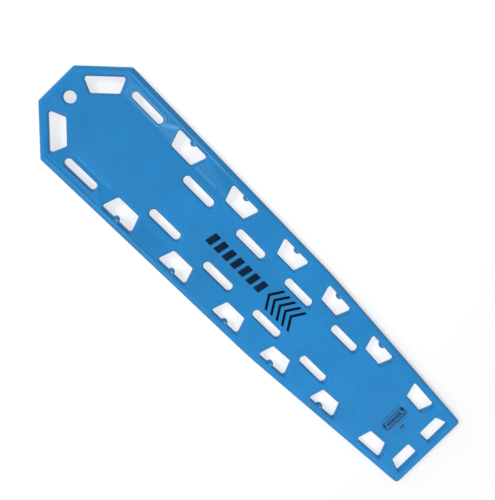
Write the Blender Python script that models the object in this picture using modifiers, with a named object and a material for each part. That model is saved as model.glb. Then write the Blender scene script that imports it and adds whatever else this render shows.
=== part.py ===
"""Spine board: a long moulded board with handholds, strap slots, strap pins, a foam core and stiffeners.

Run it with: blender --background --python part.py

Every position below is measured from the middle of the head edge: s runs along the board towards the foot,
y to one side and z up from the ground. All objects hang on one empty, which puts the origin at the middle
of the board's length, on the ground.
"""

import math

import bmesh
import bpy
from mathutils import Matrix, Vector

MM = 0.001

# Driving dimensions
LENGTH = 1829 * MM
HALF_WIDTH = 198 * MM
FOOT_HALF_WIDTH = 161 * MM
HEAD_HALF_WIDTH = 74.5 * MM
SHOULDER_S = 125 * MM
TAPER_S = 1065 * MM
RUNNER_HEIGHT = 6 * MM
THICKNESS = 34 * MM
WING_RISE = 11 * MM
INNER_WING_RISE = 9 * MM
WALL = 3.5 * MM
GAP = 0.3 * MM
OUTER_INSET = 16 * MM
OPENING_INSET = 8 * MM
BAR_WIDTH = 29 * MM
MERGE = 0.01 * MM
ON_PLANE = 0.001 * MM
SHARP_ANGLE = math.radians(35)

# Plan corners
HEAD_CORNER_RADIUS = 9 * MM
FOOT_CORNER_RADIUS = 15 * MM
TAPER_BLEND_RADIUS = 2000 * MM
CORNER_STEPS = 2
ROUND_STEPS = 12
LOBE_STEPS = 6
LOBE_ROOT_STEPS = 2
TURNED_STEPS = 8
EDGE_SEGMENTS = 3
INNER_EDGE_SEGMENTS = 2
SMALLEST_CORNER = 1 * MM

# Raised wings on both sides of the head and shoulders
CREASE_Y = 121 * MM
RIM_Y = 173 * MM
WING_FADE_S = 480 * MM
WING_END_S = 640 * MM

# Handholds: trapezoids with the long side towards the board's edge
HAND_LONG = 127 * MM
HAND_SHORT = 88 * MM
HAND_DEPTH = 54 * MM
HAND_DEPTH_TAPERED = 52 * MM
HAND_DEPTH_HEAD = 49.5 * MM
HAND_CORNER = 7 * MM
HAND_OFFSET = 1 * MM
HAND_STRAIGHT_S = (416.6 * MM, 662.6 * MM, 912.6 * MM)
HAND_TAPERED_S = (1142.5 * MM, 1391.8 * MM, 1640.8 * MM)
HAND_HEAD_CENTRE = 92 * MM
FOOT_HAND_S = (1741.5 * MM, 1798.5 * MM)
FOOT_HAND_Y = (29 * MM, 108 * MM, 126 * MM)

# Half-round lobes in five handholds on each side, and how far each is from its handhold's middle
LOBE_RADIUS = 10.5 * MM
LOBE_FLARE = 1.5 * MM
LOBE_SHIFTS = (0, 0, 0, -6.5 * MM, -9 * MM, None)

# Strap slots and hanging hole
SLOT_SIZE = (130.5 * MM, 26.5 * MM)
SLOT_WING = (241 * MM, 144 * MM)
SLOT_WING_SIZE = (125 * MM, 24 * MM)
SLOT_DECK_S = (537.7 * MM, 784.3 * MM, 1023.1 * MM, 1262.9 * MM)
SLOT_DECK_Y = 75 * MM
HOLE_S = 57 * MM
HOLE_RADIUS = 19 * MM

# Runners moulded into the underside, and the stiffening tubes above them
RUNNER_Y = 40 * MM
RUNNER_WIDTH = 30 * MM
RUNNER_S = (130 * MM, 1690 * MM)
RUNNER_EDGE = 2.5 * MM
TUBE_RADIUS = 7 * MM
TUBE_WALL = 1.5 * MM
TUBE_S = (160 * MM, 1680 * MM)

# Strap pins through the lobes
PIN_RADIUS = 2.2 * MM
PIN_HEAD_RADIUS = 3.3 * MM
PIN_HEAD_HEIGHT = 1.2 * MM
PIN_DROP = 0.8 * MM

# Label and plugs
LABEL_S = 1619.7 * MM
LABEL_SIZE = (66 * MM, 102 * MM)
LABEL_THICKNESS = 0.7 * MM
LABEL_CORNER = 3 * MM
VENT_S = 1664 * MM
VENT_RADIUS = 4.5 * MM
FILL_S = 915 * MM
FILL_RADIUS = 12 * MM
PLUG_THICKNESS = 3 * MM

# Heights worked out from the above
BOTTOM_Z = RUNNER_HEIGHT
DECK_Z = RUNNER_HEIGHT + THICKNESS
MID_Z = (BOTTOM_Z + DECK_Z) / 2
TAPER_ANGLE = math.atan2(HALF_WIDTH - FOOT_HALF_WIDTH, LENGTH - TAPER_S)
CHAMFER_ANGLE = math.atan2(HALF_WIDTH - HEAD_HALF_WIDTH, SHOULDER_S)

# How far rounded edges reach inwards, and places in the wall: for the board's outline, then for openings
EDGE_INSETS = Vector((OUTER_INSET, OPENING_INSET))
AT_EDGE = Vector((0, 0))
INSIDE_WALL = Vector((WALL, WALL))
INSIDE_GAP = Vector((WALL + GAP, WALL + GAP))


def clear_scene():
    for obj in list(bpy.data.objects):
        bpy.data.objects.remove(obj, do_unlink=True)


def new_collection(name):
    collection = bpy.data.collections.new(name)
    bpy.context.scene.collection.children.link(collection)
    return collection


def material(name, color, roughness, metallic=0.0):
    made = bpy.data.materials.new(name)
    made.use_nodes = True
    shader = made.node_tree.nodes["Principled BSDF"]
    shader.inputs["Base Color"].default_value = (*color, 1)
    shader.inputs["Roughness"].default_value = roughness
    shader.inputs["Metallic"].default_value = metallic
    made.diffuse_color = (*color, 1)
    return made


# Plan shapes, as lists of points


def rounded(corners, grow=0.0, steps=CORNER_STEPS):
    """The closed outline through corners (s, y, radius), moved outwards by grow, with an arc at each."""
    points = []
    for index, (s, y, radius) in enumerate(corners):
        corner = Vector((s, y))
        back = (Vector(corners[index - 1][:2]) - corner).normalized()
        ahead = (Vector(corners[(index + 1) % len(corners)][:2]) - corner).normalized()
        half = back.angle(ahead) / 2
        inwards = (back + ahead).normalized() / math.sin(half)
        centre = corner + inwards * radius
        size = max(radius + grow, SMALLEST_CORNER)
        centre += inwards * (size - radius - grow)
        start = back * (size / math.tan(half)) - inwards * size
        turn = math.pi - 2 * half
        side = math.copysign(1, ahead.cross(back))
        for step in range(steps + 1):
            angle = side * turn * step / steps
            points.append(centre + Matrix.Rotation(angle, 2) @ start)
    return points


def rectangle(s, y, size, radius):
    """The corners of a rectangle whose middle is at (s, y)."""
    half_s, half_y = size[0] / 2, size[1] / 2
    signs = ((-1, -1), (1, -1), (1, 1), (-1, 1))
    return [(s + a * half_s, y + b * half_y, radius) for a, b in signs]


def board_outline(grow=0.0):
    side = [
        (0, HEAD_HALF_WIDTH, HEAD_CORNER_RADIUS),
        (SHOULDER_S, HALF_WIDTH, HEAD_CORNER_RADIUS),
        (TAPER_S, HALF_WIDTH, TAPER_BLEND_RADIUS),
        (LENGTH, FOOT_HALF_WIDTH, FOOT_CORNER_RADIUS),
    ]
    return rounded(side + [(s, -y, r) for s, y, r in reversed(side)], grow)


def in_hand_frame(point, place):
    """A point along a handhold's long side and inwards from it, put where place = (s, y, angle) says."""
    along, inwards = point
    s, y, angle = place
    return Vector(
        (
            s + along * math.cos(angle) - inwards * math.sin(angle),
            y - along * math.sin(angle) - inwards * math.cos(angle),
        )
    )


def lobe_outline(grow):
    """A half-round lobe from left to right, with a fillet at each root, moved out of the opening by grow."""
    reach = math.sqrt((LOBE_RADIUS + LOBE_FLARE) ** 2 - LOBE_FLARE**2)
    root_radius = LOBE_FLARE + grow
    tip_radius = LOBE_RADIUS - grow
    turn = math.asin(LOBE_FLARE / (LOBE_RADIUS + LOBE_FLARE))
    root = []
    for step in range(LOBE_ROOT_STEPS + 1):
        angle = (turn - math.pi / 2) * (1 - step / LOBE_ROOT_STEPS) - turn
        along = root_radius * math.cos(angle) - reach
        inwards = root_radius * math.sin(angle) + LOBE_FLARE
        root.append(Vector((along, inwards)))
    tip = []
    for step in range(1, LOBE_STEPS):
        angle = math.pi - turn - (math.pi - 2 * turn) * step / LOBE_STEPS
        tip.append(Vector((tip_radius * math.cos(angle), tip_radius * math.sin(angle))))
    return root + tip + [Vector((-point.x, point.y)) for point in reversed(root)]


def handhold(place, depth, lobe_shift, grow=0.0):
    """A trapezoid with rounded corners, and a half-round lobe on its long side where lobe_shift is given."""
    corners = [
        (HAND_LONG / 2, 0, HAND_CORNER),
        (HAND_SHORT / 2, depth, HAND_CORNER),
        (-HAND_SHORT / 2, depth, HAND_CORNER),
        (-HAND_LONG / 2, 0, HAND_CORNER),
    ]
    points = rounded(corners, grow)
    if lobe_shift is not None:
        points.extend(point + Vector((lobe_shift, 0)) for point in lobe_outline(grow))
    return [in_hand_frame(point, place) for point in points]


def hand_places():
    """Place, depth and lobe shift of each handhold on one side, from head to foot, without the foot ones."""
    normal = Vector((math.sin(CHAMFER_ANGLE), -math.cos(CHAMFER_ANGLE)))
    along = Vector((math.cos(CHAMFER_ANGLE), math.sin(CHAMFER_ANGLE)))
    head = Vector((0, HEAD_HALF_WIDTH)) + along * HAND_HEAD_CENTRE + normal * (BAR_WIDTH + HAND_OFFSET)
    places = [((head.x, head.y, -CHAMFER_ANGLE), HAND_DEPTH_HEAD, None)]
    for s, shift in zip(HAND_STRAIGHT_S, LOBE_SHIFTS):
        places.append(((s, HALF_WIDTH - BAR_WIDTH, 0), HAND_DEPTH, shift))
    for s, shift in zip(HAND_TAPERED_S, LOBE_SHIFTS[len(HAND_STRAIGHT_S):]):
        edge = HALF_WIDTH - (s - TAPER_S) * math.tan(TAPER_ANGLE)
        places.append(((s, edge - BAR_WIDTH - HAND_OFFSET, TAPER_ANGLE), HAND_DEPTH_TAPERED, shift))
    return places


def foot_handhold(grow=0.0):
    near_s, far_s = FOOT_HAND_S
    inner, outer_near, outer_far = FOOT_HAND_Y
    corners = [
        (near_s, inner, HAND_CORNER),
        (far_s, inner, HAND_CORNER),
        (far_s, outer_far, HAND_CORNER),
        (near_s, outer_near, HAND_CORNER),
    ]
    return rounded(corners, grow)


def circle(s, y, radius):
    return [
        Vector((s + radius * math.cos(turn), y + radius * math.sin(turn)))
        for turn in (2 * math.pi * step / ROUND_STEPS for step in range(ROUND_STEPS))
    ]


def slot(s, y, size, grow=0.0):
    return rounded(rectangle(s, y, size, size[1] / 2 - MERGE), grow)


def board_plan(grows, lobes=True):
    """The board's outline, then the outline of every opening.

    The first is moved into the board by the first of the grows, and the openings by the second.
    """
    outer, opening = grows
    one_side = []
    for place, depth, shift in hand_places():
        one_side.append(handhold(place, depth, shift if lobes else None, opening))
    one_side.append(foot_handhold(opening))
    one_side.append(slot(*SLOT_WING, SLOT_WING_SIZE, opening))
    one_side.extend(slot(s, SLOT_DECK_Y, SLOT_SIZE, opening) for s in SLOT_DECK_S)
    other_side = [[Vector((p.x, -p.y)) for p in outline] for outline in one_side]
    return [board_outline(-outer)] + one_side + other_side + [circle(HOLE_S, 0, HOLE_RADIUS + opening)]


def hollow_plan(grows):
    return board_plan(grows, lobes=False)


# Solids


def flat_face(outlines, z):
    """A flat filled face at a height: the first outline is its outside and the others are holes."""
    curve = bpy.data.curves.new("flat_face", "CURVE")
    curve.dimensions = "2D"
    curve.fill_mode = "BOTH"
    for outline in outlines:
        spline = curve.splines.new("POLY")
        spline.points.add(len(outline) - 1)
        for point, place in zip(spline.points, outline):
            point.co = (place.x, place.y, 0, 1)
        spline.use_cyclic_u = True
    guide = bpy.data.objects.new("flat_face", curve)
    bpy.context.scene.collection.objects.link(guide)
    graph = bpy.context.evaluated_depsgraph_get()
    mesh = bpy.data.meshes.new_from_object(guide.evaluated_get(graph))
    mesh.transform(Matrix.Translation((0, 0, z)))
    bpy.data.objects.remove(guide, do_unlink=True)
    return mesh


def slab(plan, sections):
    """A closed solid lofted through sections (z, grow) from low to high. Plan(grow) gives its outlines."""
    bm = bmesh.new()
    stacks = zip(*(plan(grow) for _, grow in sections))
    for stack in stacks:
        rings = []
        for outline, (z, _) in zip(stack, sections):
            rings.append([bm.verts.new((*point, z)) for point in outline])
        for lower, upper in zip(rings, rings[1:]):
            for i in range(len(lower)):
                bm.faces.new((lower[i - 1], lower[i], upper[i], upper[i - 1]))
    for z, grow in (sections[0], sections[-1]):
        face = flat_face(plan(grow), z)
        bm.from_mesh(face)
        bpy.data.meshes.remove(face)
    bmesh.ops.remove_doubles(bm, verts=bm.verts, dist=MERGE)
    bmesh.ops.recalc_face_normals(bm, faces=bm.faces)
    return bm


def rounded_edge(start, face, inset, rise, segments, grow):
    """Sections (z, grow) from a start height to a face whose edge is a quarter ellipse.

    They run from low to high, whichever way the face lies. Inset and grow are lengths, or pairs of them for
    a plan that takes pairs.
    """
    towards = math.copysign(1, face - start)
    sections = []
    for step in range(segments + 1):
        angle = math.pi / 2 * step / segments
        z = face - towards * rise * (1 - math.sin(angle))
        sections.append((z, grow + inset * (1 - math.cos(angle))))
    if abs(sections[0][0] - start) > MERGE:
        sections.insert(0, (start, grow))
    return sections if towards > 0 else sections[::-1]


def wing_rise(s, y, most=WING_RISE):
    """How far the deck stands above its flat middle at this place, up to most at the rims."""
    across = (abs(y) - CREASE_Y) / (RIM_Y - CREASE_Y)
    along = (WING_END_S - s) / (WING_END_S - WING_FADE_S)
    return most * min(max(min(across, along), 0), 1)


def cut_line(bm, place, normal, last_s=LENGTH):
    """New edges where a plane crosses the mesh, up to last_s."""
    faces = [f for f in bm.faces if all(v.co.x < last_s + GAP for v in f.verts)]
    parts = {part for f in faces for part in (f, *f.edges, *f.verts)}
    bmesh.ops.bisect_plane(bm, geom=list(parts), plane_co=place, plane_no=normal, dist=ON_PLANE)


def raise_wings(bm, above, most=WING_RISE):
    """Bends the upper face up into the wings, which are flat facets. Only what is above that height moves."""
    for s in (WING_FADE_S, WING_END_S):
        cut_line(bm, (s, 0, 0), (1, 0, 0))
    for side in (-1, 1):
        for y in (CREASE_Y, RIM_Y):
            cut_line(bm, (0, side * y, 0), (0, 1, 0), WING_END_S)
        fold = (RIM_Y - CREASE_Y, side * (WING_END_S - WING_FADE_S), 0)
        cut_line(bm, (WING_FADE_S, side * RIM_Y, 0), fold, WING_END_S)
    bmesh.ops.triangulate(bm, faces=bm.faces, quad_method="FIXED")
    for vert in bm.verts:
        if vert.co.z > above:
            vert.co.z += wing_rise(vert.co.x, vert.co.y, most)


def finish_mesh(bm, name):
    bmesh.ops.recalc_face_normals(bm, faces=bm.faces)
    mesh = bpy.data.meshes.new(name)
    bm.to_mesh(mesh)
    bm.free()
    mesh.shade_smooth()
    mesh.set_sharp_from_angle(angle=SHARP_ANGLE)
    return mesh


class Board:
    """Holds the collections and the empty that every object hangs on."""

    def __init__(self):
        self.parts = new_collection("spine_board")
        self.cutters = new_collection("cutters")
        self.frame = bpy.data.objects.new("board_frame", None)
        self.frame.location = (-LENGTH / 2, 0, 0)
        self.parts.objects.link(self.frame)

    def add(self, name, mesh, surface, location=(0, 0, 0)):
        obj = bpy.data.objects.new(name, mesh)
        obj.location = location
        obj.parent = self.frame
        if not mesh.materials:
            mesh.materials.append(surface)
        self.parts.objects.link(obj)
        return obj

    def add_cutter(self, name, mesh, location=(0, 0, 0)):
        obj = bpy.data.objects.new(name, mesh)
        obj.location = location
        obj.parent = self.frame
        obj.hide_render = True
        obj.display_type = "WIRE"
        self.cutters.objects.link(obj)
        return obj


def cut(obj, cutter):
    modifier = obj.modifiers.new(cutter.name, "BOOLEAN")
    modifier.operation = "DIFFERENCE"
    modifier.solver = "MANIFOLD"
    modifier.object = cutter


def join(obj, other):
    modifier = obj.modifiers.new(other.name, "BOOLEAN")
    modifier.operation = "UNION"
    modifier.solver = "MANIFOLD"
    modifier.object = other


def box_into(bm, low, high):
    """Adds a box between two corners to the mesh."""
    size = [b - a for a, b in zip(low, high)]
    middle = [(a + b) / 2 for a, b in zip(low, high)]
    matrix = Matrix.Translation(middle) @ Matrix.Diagonal((*size, 1))
    bmesh.ops.create_cube(bm, size=1, matrix=matrix)


def turned(name, profile, steps=TURNED_STEPS, closed=False):
    """The mesh that a profile of (radius, z), running down its outer side, sweeps round the z axis."""
    lines = [(i, i + 1) for i in range(len(profile) - 1)]
    if closed:
        lines.append((len(profile) - 1, 0))
    mesh = bpy.data.meshes.new(name)
    mesh.from_pydata([(radius, 0, z) for radius, z in profile], lines, [])
    guide = bpy.data.objects.new(name, mesh)
    bpy.context.scene.collection.objects.link(guide)
    screw = guide.modifiers.new("turn", "SCREW")
    screw.steps = steps
    screw.render_steps = steps
    screw.use_merge_vertices = True
    screw.merge_threshold = MERGE
    graph = bpy.context.evaluated_depsgraph_get()
    swept = bpy.data.meshes.new_from_object(guide.evaluated_get(graph))
    bpy.data.objects.remove(guide, do_unlink=True)
    bpy.data.meshes.remove(mesh)
    bm = bmesh.new()
    bm.from_mesh(swept)
    bpy.data.meshes.remove(swept)
    return bm


def add_at(bm, other, place):
    """Puts another mesh into this one, moved to place."""
    other.transform(Matrix.Translation(place))
    moved = bpy.data.meshes.new("moved")
    other.to_mesh(moved)
    bm.from_mesh(moved)
    bpy.data.meshes.remove(moved)
    other.free()


# Pieces


def pin_places():
    """Middle of each pin on one side, from head to foot."""
    places = []
    for place, _, shift in hand_places():
        if shift is not None:
            places.append(in_hand_frame((shift, 0), place))
    return places


def pin_profile(top, bottom, grow=0.0, beyond=0.0):
    """A shank with a head at each end. A hole for it is the same, grown, and runs beyond both faces."""
    head_radius = PIN_HEAD_RADIUS + grow
    shank_radius = PIN_RADIUS + grow
    head_height = PIN_HEAD_HEIGHT + grow
    return [
        (0, top + beyond),
        (head_radius, top + beyond),
        (head_radius, top - head_height),
        (shank_radius, top - head_height),
        (shank_radius, bottom + head_height),
        (head_radius, bottom + head_height),
        (head_radius, bottom - beyond),
        (0, bottom - beyond),
    ]


def pin_ends(place):
    """Top and bottom of a pin, which sit a little inside the faces of the board."""
    return DECK_Z + wing_rise(place.x, place.y) - PIN_DROP, BOTTOM_Z + PIN_DROP


def add_pin_holes(bm):
    for place in pin_places():
        top, bottom = pin_ends(place)
        for side in (1, -1):
            hole = turned("pin_hole", pin_profile(top, bottom, GAP, WALL))
            add_at(bm, hole, (place.x, side * place.y, 0))


def disc_profile(radius, low, high):
    return [(0, high), (radius, high), (radius, low), (0, low)]


def label_plan(grow):
    return [rounded(rectangle(LABEL_S, 0, LABEL_SIZE, LABEL_CORNER), grow)]


def runner_plan(side, grow):
    """The outline of a runner on one side, with round ends, made smaller by grow."""
    first, last = RUNNER_S
    size = (last - first, RUNNER_WIDTH)
    return [rounded(rectangle((first + last) / 2, side * RUNNER_Y, size, RUNNER_WIDTH / 2 - GAP), -grow)]


def deck_shell(board, surface):
    """The upper half of the skin: a tray that opens downwards, with a pocket for the label."""
    low = MID_Z + GAP / 2
    edge = rounded_edge(low, DECK_Z, EDGE_INSETS, DECK_Z - low, EDGE_SEGMENTS, AT_EDGE)
    bm = slab(board_plan, edge)
    raise_wings(bm, low + GAP)
    shell = board.add("deck_shell", finish_mesh(bm, "deck_shell"), surface)

    ceiling = DECK_Z - WALL
    inset = EDGE_INSETS - INSIDE_WALL
    inner_edge = rounded_edge(low, ceiling, inset, ceiling - low, INNER_EDGE_SEGMENTS, INSIDE_WALL)
    hollow = slab(hollow_plan, [(low - WALL, INSIDE_WALL)] + inner_edge)
    raise_wings(hollow, low + GAP, INNER_WING_RISE)
    cut(shell, board.add_cutter("deck_hollow", finish_mesh(hollow, "deck_hollow")))

    holes = slab(label_plan, [(DECK_Z - LABEL_THICKNESS - GAP, GAP), (DECK_Z + WALL, GAP)])
    add_pin_holes(holes)
    cut(shell, board.add_cutter("deck_holes", finish_mesh(holes, "deck_holes")))


def base_shell(board, surface):
    """The lower half of the skin: a tray that opens upwards and stands on two runners."""
    high = MID_Z - GAP / 2
    edge = rounded_edge(high, BOTTOM_Z, EDGE_INSETS, high - BOTTOM_Z, EDGE_SEGMENTS, AT_EDGE)
    bm = slab(board_plan, edge)
    shell = board.add("base_shell", finish_mesh(bm, "base_shell"), surface)

    for side, name in ((-1, "runner_left"), (1, "runner_right")):
        foot_edge = rounded_edge(BOTTOM_Z + WALL / 2, 0, RUNNER_EDGE, RUNNER_EDGE, INNER_EDGE_SEGMENTS, 0)
        runner = slab(lambda grow: runner_plan(side, grow), foot_edge)
        join(shell, board.add_cutter(name, finish_mesh(runner, name)))

    ground = BOTTOM_Z + WALL
    inset = EDGE_INSETS - INSIDE_WALL
    inner_edge = rounded_edge(high, ground, inset, high - ground, INNER_EDGE_SEGMENTS, INSIDE_WALL)
    hollow = slab(hollow_plan, inner_edge + [(high + WALL, INSIDE_WALL)])
    cut(shell, board.add_cutter("base_hollow", finish_mesh(hollow, "base_hollow")))

    holes = bmesh.new()
    for s, radius in ((FILL_S, FILL_RADIUS), (VENT_S, VENT_RADIUS)):
        profile = disc_profile(radius + GAP, BOTTOM_Z - WALL, ground + WALL)
        add_at(holes, turned("plug_hole", profile, ROUND_STEPS), (s, 0, 0))
    add_pin_holes(holes)
    cut(shell, board.add_cutter("base_holes", finish_mesh(holes, "base_holes")))


def foam_core(board, surface):
    """The foam that fills both halves of the skin, with a groove underneath for each stiffening tube."""
    top = DECK_Z - WALL - GAP
    bottom = BOTTOM_Z + WALL + GAP
    inset = EDGE_INSETS - INSIDE_GAP
    lower = rounded_edge(MID_Z, bottom, inset, MID_Z - bottom, INNER_EDGE_SEGMENTS, INSIDE_GAP)
    upper = rounded_edge(MID_Z, top, inset, top - MID_Z, INNER_EDGE_SEGMENTS, INSIDE_GAP)
    bm = slab(hollow_plan, lower + upper[1:])
    raise_wings(bm, MID_Z + GAP, INNER_WING_RISE)
    core = board.add("foam_core", finish_mesh(bm, "foam_core"), surface)

    grooves = bmesh.new()
    reach = TUBE_RADIUS + GAP
    for side in (-1, 1):
        middle = side * RUNNER_Y
        low = (TUBE_S[0] - GAP, middle - reach, BOTTOM_Z)
        box_into(grooves, low, (TUBE_S[1] + GAP, middle + reach, MID_Z + reach))
    cut(core, board.add_cutter("tube_grooves", finish_mesh(grooves, "tube_grooves")))


def stiffener_tubes(board, surface):
    half = (TUBE_S[1] - TUBE_S[0]) / 2
    inner = TUBE_RADIUS - TUBE_WALL
    ring = [(inner, half), (TUBE_RADIUS, half), (TUBE_RADIUS, -half), (inner, -half)]
    mesh = finish_mesh(turned("stiffener_tube", ring, ROUND_STEPS, closed=True), "stiffener_tube")
    for side, name in ((-1, "stiffener_tube_left"), (1, "stiffener_tube_right")):
        tube = board.add(name, mesh, surface, (TUBE_S[0] + half, side * RUNNER_Y, MID_Z))
        tube.rotation_euler = (0, math.pi / 2, 0)


def clip_pins(board, surface):
    for number, place in enumerate(pin_places(), start=1):
        name = f"clip_pin_{number}"
        mesh = finish_mesh(turned(name, pin_profile(*pin_ends(place))), name)
        for side, word in ((-1, "left"), (1, "right")):
            board.add(f"clip_pin_{word}_{number}", mesh, surface, (place.x, side * place.y, 0))


def label_plate(board, surface):
    bm = slab(label_plan, [(DECK_Z - LABEL_THICKNESS, 0), (DECK_Z, 0)])
    board.add("label_plate", finish_mesh(bm, "label_plate"), surface)


def plugs(board, surface):
    """The plugs in the underside: one where the foam goes in and one where the air comes out."""
    for name, s, radius in (("fill_plug", FILL_S, FILL_RADIUS), ("vent_plug", VENT_S, VENT_RADIUS)):
        plug = turned(name, disc_profile(radius, 0, PLUG_THICKNESS), ROUND_STEPS)
        board.add(name, finish_mesh(plug, name), surface, (s, 0, BOTTOM_Z))


def main():
    clear_scene()
    board = Board()
    blue = material("moulded_polyethylene", (0.030, 0.230, 0.540), 0.42)
    foam = material("polyurethane_foam", (0.80, 0.74, 0.55), 0.9)
    carbon = material("carbon_tube", (0.03, 0.03, 0.035), 0.35)
    steel = material("stainless_steel", (0.70, 0.71, 0.72), 0.3, 1.0)
    film = material("label_film", (0.040, 0.240, 0.540), 0.35)
    cap = material("plug_plastic", (0.02, 0.03, 0.05), 0.5)
    deck_shell(board, blue)
    base_shell(board, blue)
    foam_core(board, foam)
    stiffener_tubes(board, carbon)
    clip_pins(board, steel)
    label_plate(board, film)
    plugs(board, cap)


main()
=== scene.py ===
"""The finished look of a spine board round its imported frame: fine moulded skins, printing, pins and plugs.

Plan places are in metres, as in the CAD: s runs from the head edge to the foot, and y to the board's right.
Heights are the frame's own z.
"""

import math

import bmesh
import bpy
import numpy as np
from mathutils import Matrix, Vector
from mathutils.geometry import delaunay_2d_cdt
from mathutils.kdtree import KDTree


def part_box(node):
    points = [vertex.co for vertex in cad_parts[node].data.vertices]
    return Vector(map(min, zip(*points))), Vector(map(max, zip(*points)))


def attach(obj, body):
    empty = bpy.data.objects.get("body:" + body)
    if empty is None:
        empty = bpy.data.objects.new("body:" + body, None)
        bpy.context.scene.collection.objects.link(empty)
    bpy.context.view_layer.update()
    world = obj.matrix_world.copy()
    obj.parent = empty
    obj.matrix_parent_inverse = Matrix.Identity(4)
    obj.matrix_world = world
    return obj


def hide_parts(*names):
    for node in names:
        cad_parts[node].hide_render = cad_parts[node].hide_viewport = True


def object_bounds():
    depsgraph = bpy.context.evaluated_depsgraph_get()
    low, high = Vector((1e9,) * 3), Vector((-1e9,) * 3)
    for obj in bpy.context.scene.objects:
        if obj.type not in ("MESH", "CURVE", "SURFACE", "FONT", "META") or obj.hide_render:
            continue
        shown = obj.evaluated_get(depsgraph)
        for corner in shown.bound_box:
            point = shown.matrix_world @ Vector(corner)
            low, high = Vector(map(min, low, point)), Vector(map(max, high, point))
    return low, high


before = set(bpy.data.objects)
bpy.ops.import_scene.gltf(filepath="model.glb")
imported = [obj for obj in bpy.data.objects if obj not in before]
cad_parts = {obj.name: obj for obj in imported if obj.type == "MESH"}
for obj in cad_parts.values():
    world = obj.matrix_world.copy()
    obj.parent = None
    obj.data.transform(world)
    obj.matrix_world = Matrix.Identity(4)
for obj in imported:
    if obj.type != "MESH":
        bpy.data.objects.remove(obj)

MM = 0.001
CAD_LOW, CAD_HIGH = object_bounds()
HEAD_X = CAD_LOW.x
LENGTH = CAD_HIGH.x - CAD_LOW.x
HALF_WIDTH = CAD_HIGH.y
TOP_Z = CAD_HIGH.z
DECK_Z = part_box("label_plate")[1].z
MID_Z = (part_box("deck_shell")[0].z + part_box("base_shell")[1].z) / 2
BOTTOM_Z = 2 * MID_Z - DECK_Z

# Plan of the board
FOOT_HALF_WIDTH = 161 * MM
HEAD_HALF_WIDTH = 74.5 * MM
SHOULDER_S = 125 * MM
TAPER_S = 1065 * MM
HEAD_CORNER_RADIUS = 9 * MM
FOOT_CORNER_RADIUS = 15 * MM
TAPER_BLEND_RADIUS = 2000 * MM
TAPER_ANGLE = math.atan2(HALF_WIDTH - FOOT_HALF_WIDTH, LENGTH - TAPER_S)
CHAMFER_ANGLE = math.atan2(HALF_WIDTH - HEAD_HALF_WIDTH, SHOULDER_S)

# Handholds, with a half-round lobe in five on each side
BAR_WIDTH = 29 * MM
HAND_LONG = 127 * MM
HAND_SHORT = 88 * MM
HAND_DEPTH = 54 * MM
HAND_DEPTH_TAPERED = 52 * MM
HAND_DEPTH_HEAD = 49.5 * MM
HAND_CORNER = 7 * MM
HAND_OFFSET = 1 * MM
HAND_STRAIGHT_S = (416.6 * MM, 662.6 * MM, 912.6 * MM)
HAND_TAPERED_S = (1142.5 * MM, 1391.8 * MM, 1640.8 * MM)
HAND_HEAD_CENTRE = 92 * MM
FOOT_HAND_S = (1741.5 * MM, 1798.5 * MM)
FOOT_HAND_Y = (29 * MM, 108 * MM, 126 * MM)
LOBE_RADIUS = 10.5 * MM
LOBE_ROOT = 1.5 * MM
LOBE_SHIFTS = (0, 0, 0, -6.5 * MM, -9 * MM, None)

# Strap slots and hanging hole
SLOT_SIZE = (130.5 * MM, 26.5 * MM)
SLOT_WING = (241 * MM, 144 * MM)
SLOT_WING_SIZE = (125 * MM, 24 * MM)
SLOT_DECK_S = (537.7 * MM, 784.3 * MM, 1023.1 * MM, 1262.9 * MM)
SLOT_DECK_Y = 75 * MM
HOLE_S = 57 * MM
HOLE_RADIUS = 19 * MM

# Section of the moulded skins
WALL = 3.5 * MM
OUTER_INSET = 16 * MM
OPENING_INSET = 8 * MM
EDGE_POWER = 2.25
SEAM_GAP = 0.15 * MM
SEAM_DEPTH = 0.5 * MM
RUNNER_Y = 40 * MM
RUNNER_WIDTH = 30 * MM
RUNNER_S = (130 * MM, 1690 * MM)
RUNNER_SLOPE = 4 * MM
RUNNER_END_SHARE = 0.999

# Wings and rims beside the head and shoulders
CREASE_Y = 121 * MM
RIM_Y = 173 * MM
RIDGE_Y = 180.5 * MM
RIDGE_HALF_WIDTH = 7 * MM
RIDGE_RISE = 2.3 * MM
GROOVE_Y = 173.6 * MM
GROOVE_HALF_WIDTH = 2.4 * MM
GROOVE_DEPTH = 0.9 * MM
RIDGE_START_S = 110 * MM
RIDGE_START_FADE = 30 * MM
WING_FADE_S = 480 * MM
WING_END_S = 640 * MM
WING_BLEND = 0.12
RIM_BLEND = 0.06
CREASE_BLEND = 0.05
INNER_RISE = 9 * MM

# Lips round the wing slots, a fold beside the left one, and saddles between the slots and the first handholds
LIP_GAP = 5.5 * MM
LIP_HALF_WIDTH = 4.5 * MM
LIP_RISE = 2.2 * MM
FOLD_Y = 111 * MM
FOLD_S = (188 * MM, 312 * MM)
FOLD_HALF_WIDTH = 3 * MM
FOLD_FADE = 30 * MM
FOLD_RISE = 0.5 * MM
SADDLE_FROM = (312 * MM, 146 * MM)
SADDLE_TO = (346 * MM, 168 * MM)
SADDLE_HALF_WIDTH = 15 * MM
SADDLE_RISE = 1.6 * MM

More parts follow.
